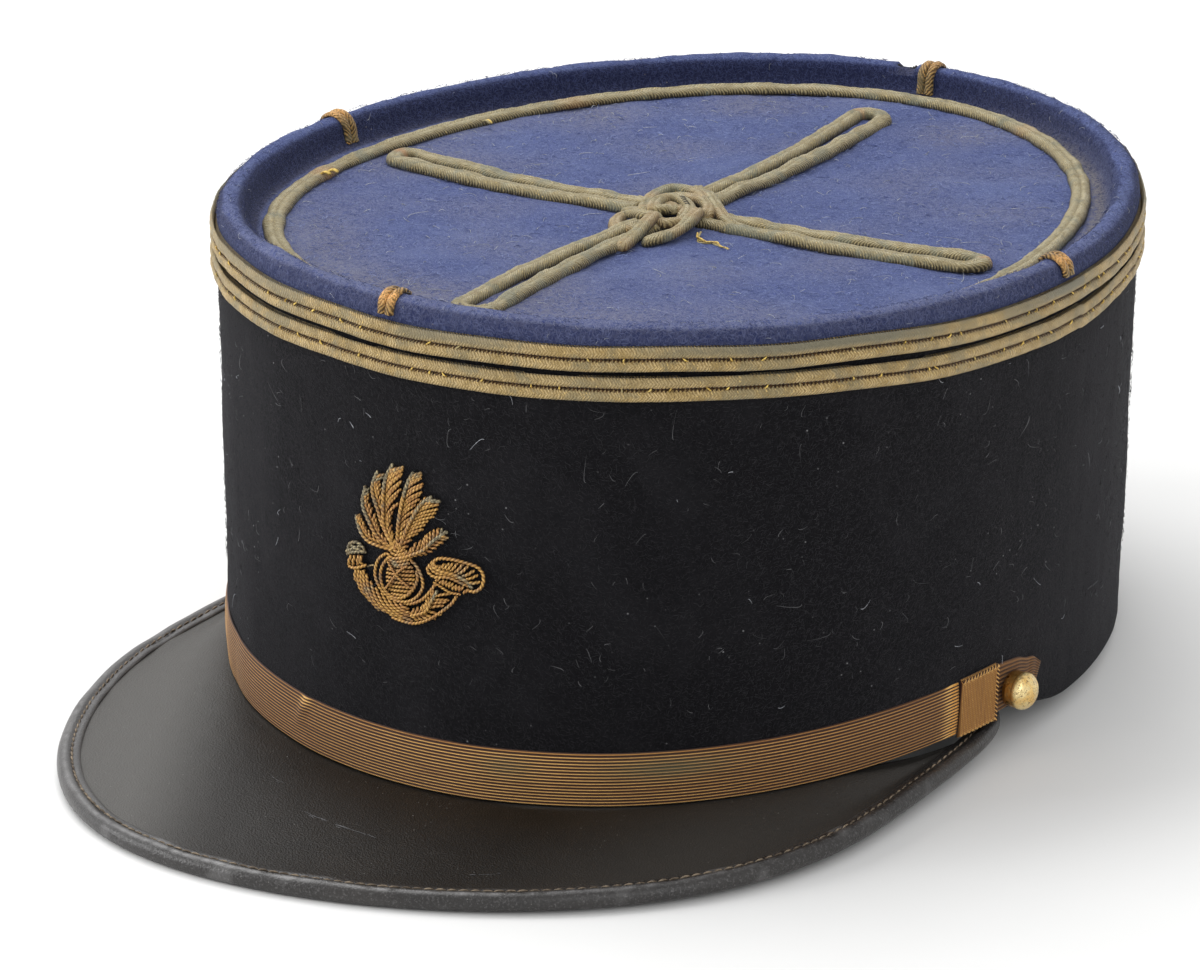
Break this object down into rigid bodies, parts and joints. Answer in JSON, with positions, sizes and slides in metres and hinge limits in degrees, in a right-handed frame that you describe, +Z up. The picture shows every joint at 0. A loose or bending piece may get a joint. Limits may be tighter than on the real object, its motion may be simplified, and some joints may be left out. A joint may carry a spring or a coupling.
{
  "type": "kepi cap",
  "caption": "Stiff round officer's cap with a sunk blue top, gilt braids, a badge, a front chin strap and a flat leather visor.",
  "frame": {"origin": "middle of the bounding box, on the surface that the cap rests on", "axes": "+Z up, -Y the front of the cap, +X the wearer's left"},
  "size_m": [0.1868, 0.2552, 0.1037],
  "materials": {
    "navy_felt": "dense near-black navy wool felt with lint",
    "blue_felt": "mid blue wool felt, brushed, a little dusty",
    "aged_braid": "tarnished gilt thread braid, olive to gold",
    "copper_braid": "worn gilt thread braid gone copper",
    "strap_braid": "ribbed gilt and brown braid with a green tarnish",
    "gilt_metal": "gilt metal, dented and worn",
    "visor_leather": "black grained leather, semi-gloss, scuffed",
    "binding_leather": "black edge leather, rolled and stitched, scuffed grey",
    "bullion": "padded bullion wire embroidery, tarnished gold"
  },
  "bodies": {
    "root": {"crown_wall": "navy_felt", "crown_top": "blue_felt", "upper_galon": "aged_braid", "lower_galon": "aged_braid", "top_ring_braid": "aged_braid", "braid_arm_left": "aged_braid", "braid_arm_back": "aged_braid", "braid_arm_right": "aged_braid", "braid_arm_front": "aged_braid", "knot_centre": "aged_braid", "rim_tab_front": "copper_braid", "rim_tab_back": "copper_braid", "rim_tab_left": "copper_braid", "rim_tab_right": "copper_braid", "chin_strap": "strap_braid", "strap_slide_left": "strap_braid", "strap_slide_right": "strap_braid", "strap_end_left": "strap_braid", "strap_end_right": "strap_braid", "button_left": "gilt_metal", "button_right": "gilt_metal", "visor": "visor_leather", "visor_binding": "binding_leather", "badge_flame": "bullion", "badge_grenade": "bullion", "badge_horn": "bullion"}
  },
  "joints": []
}
